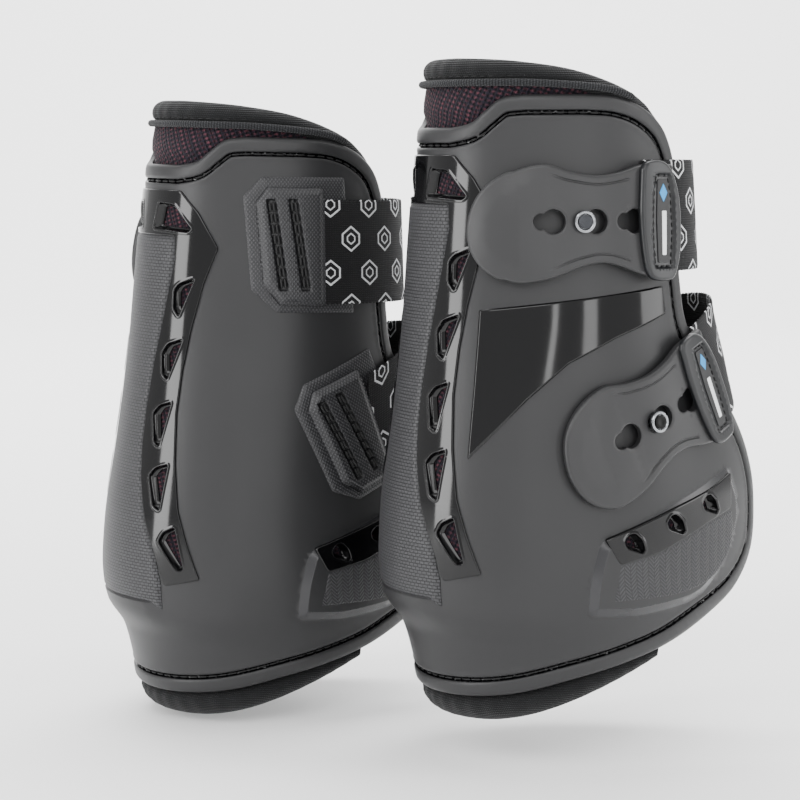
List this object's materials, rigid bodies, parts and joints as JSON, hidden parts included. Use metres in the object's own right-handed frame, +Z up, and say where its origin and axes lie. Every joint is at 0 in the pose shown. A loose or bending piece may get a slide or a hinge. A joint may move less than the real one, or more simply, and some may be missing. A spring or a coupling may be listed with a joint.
{
  "type": "tendon boots",
  "caption": "Pair of hard-shell horse leg boots with vented spine trim, padded rolls and stretch straps that hook over studs.",
  "frame": {"origin": "on the right boot's leg axis, level with the rear of its lower rim", "axes": "+Z up the leg, +X to the front of the leg, -Y to the right boot's outer side"},
  "size_m": [0.2265, 0.2193, 0.2605],
  "materials": {
    "matte_shell": "matte moulded TPU",
    "knurled_shell": "matte moulded TPU with fine relief",
    "gloss_trim": "polished moulded TPU",
    "strap_rubber": "smooth matte rubber",
    "plate_rubber": "matte rubber badge",
    "lining_neoprene": "perforated neoprene",
    "spacer_mesh": "air spacer mesh",
    "ribbed_roll": "ribbed stretch binding",
    "piping": "smooth piping cord",
    "woven_elastic": "woven elastic webbing",
    "chrome_stud": "polished chrome",
    "stud_insert": "moulded stud insert"
  },
  "bodies": {
    "right_boot": {"right_shell": "matte_shell", "right_lining": "lining_neoprene", "right_mesh_liner": "spacer_mesh", "right_top_roll": "ribbed_roll", "right_top_piping": "piping", "right_bottom_roll": "ribbed_roll", "right_vent_trim": "gloss_trim", "right_spine_strip": "knurled_shell", "right_gloss_panel": "gloss_trim", "right_lower_trim_lateral": "gloss_trim", "right_lower_trim_medial": "gloss_trim", "right_fetlock_pad_lateral": "knurled_shell", "right_fetlock_pad_medial": "knurled_shell", "right_stud_upper": "chrome_stud", "right_stud_lower": "chrome_stud", "right_stud_cap_upper": "stud_insert", "right_stud_cap_lower": "stud_insert", "right_strap_anchor_upper": "matte_shell", "right_strap_anchor_lower": "matte_shell", "right_elastic_upper": "woven_elastic", "right_elastic_lower": "woven_elastic"},
    "left_boot": {"left_shell": "matte_shell", "left_lining": "lining_neoprene", "left_mesh_liner": "spacer_mesh", "left_top_roll": "ribbed_roll", "left_top_piping": "piping", "left_bottom_roll": "ribbed_roll", "left_vent_trim": "gloss_trim", "left_spine_strip": "knurled_shell", "left_gloss_panel": "gloss_trim", "left_lower_trim_lateral": "gloss_trim", "left_lower_trim_medial": "gloss_trim", "left_fetlock_pad_lateral": "knurled_shell", "left_fetlock_pad_medial": "knurled_shell", "left_stud_upper": "chrome_stud", "left_stud_lower": "chrome_stud", "left_stud_cap_upper": "stud_insert", "left_stud_cap_lower": "stud_insert", "left_strap_anchor_upper": "matte_shell", "left_strap_anchor_lower": "matte_shell", "left_elastic_upper": "woven_elastic", "left_elastic_lower": "woven_elastic"},
    "right_tab_upper": {"right_strap_tab_upper": "strap_rubber", "right_tab_plate_upper": "plate_rubber"},
    "right_tab_lower": {"right_strap_tab_lower": "strap_rubber", "right_tab_plate_lower": "plate_rubber"},
    "left_tab_upper": {"left_strap_tab_upper": "strap_rubber", "left_tab_plate_upper": "plate_rubber"},
    "left_tab_lower": {"left_strap_tab_lower": "strap_rubber", "left_tab_plate_lower": "plate_rubber"}
  },
  "joints": [
    {"name": "left_boot_slide", "type": "slide", "parent": "right_boot", "child": "left_boot", "axis": [-0.6, 0.8, 0], "range_m": [0, 0.15]},
    {"name": "right_tab_upper_turn", "type": "hinge", "parent": "right_boot", "child": "right_tab_upper", "pos_m": [0, 0.03, 0.1814], "axis": [0, 0, -1], "range_deg": [0, 3.5], "stiffness_Nm_per_rad": 6, "springref_deg": -8.59, "deforming": ["right_elastic_upper"]},
    {"name": "right_tab_lower_turn", "type": "hinge", "parent": "right_boot", "child": "right_tab_lower", "pos_m": [-0.00221, 0.0556, 0.09972], "axis": [0.3746, 0, -0.9272], "range_deg": [0, 2.45], "stiffness_Nm_per_rad": 6, "springref_deg": -8.59, "deforming": ["right_elastic_lower"]},
    {"name": "left_tab_upper_turn", "type": "hinge", "parent": "left_boot", "child": "left_tab_upper", "pos_m": [-0.07251, 0.07667, 0.16578], "axis": [0.028, -0.0143, 0.9995], "range_deg": [0, 3.5], "stiffness_Nm_per_rad": 6, "springref_deg": -8.59, "deforming": ["left_elastic_upper"]},
    {"name": "left_tab_lower_turn", "type": "hinge", "parent": "left_boot", "child": "left_tab_lower", "pos_m": [-0.07365, 0.05217, 0.08374], "axis": [-0.3453, -0.0622, 0.9364], "range_deg": [0, 2.45], "stiffness_Nm_per_rad": 6, "springref_deg": -8.59, "deforming": ["left_elastic_lower"]}
  ]
}
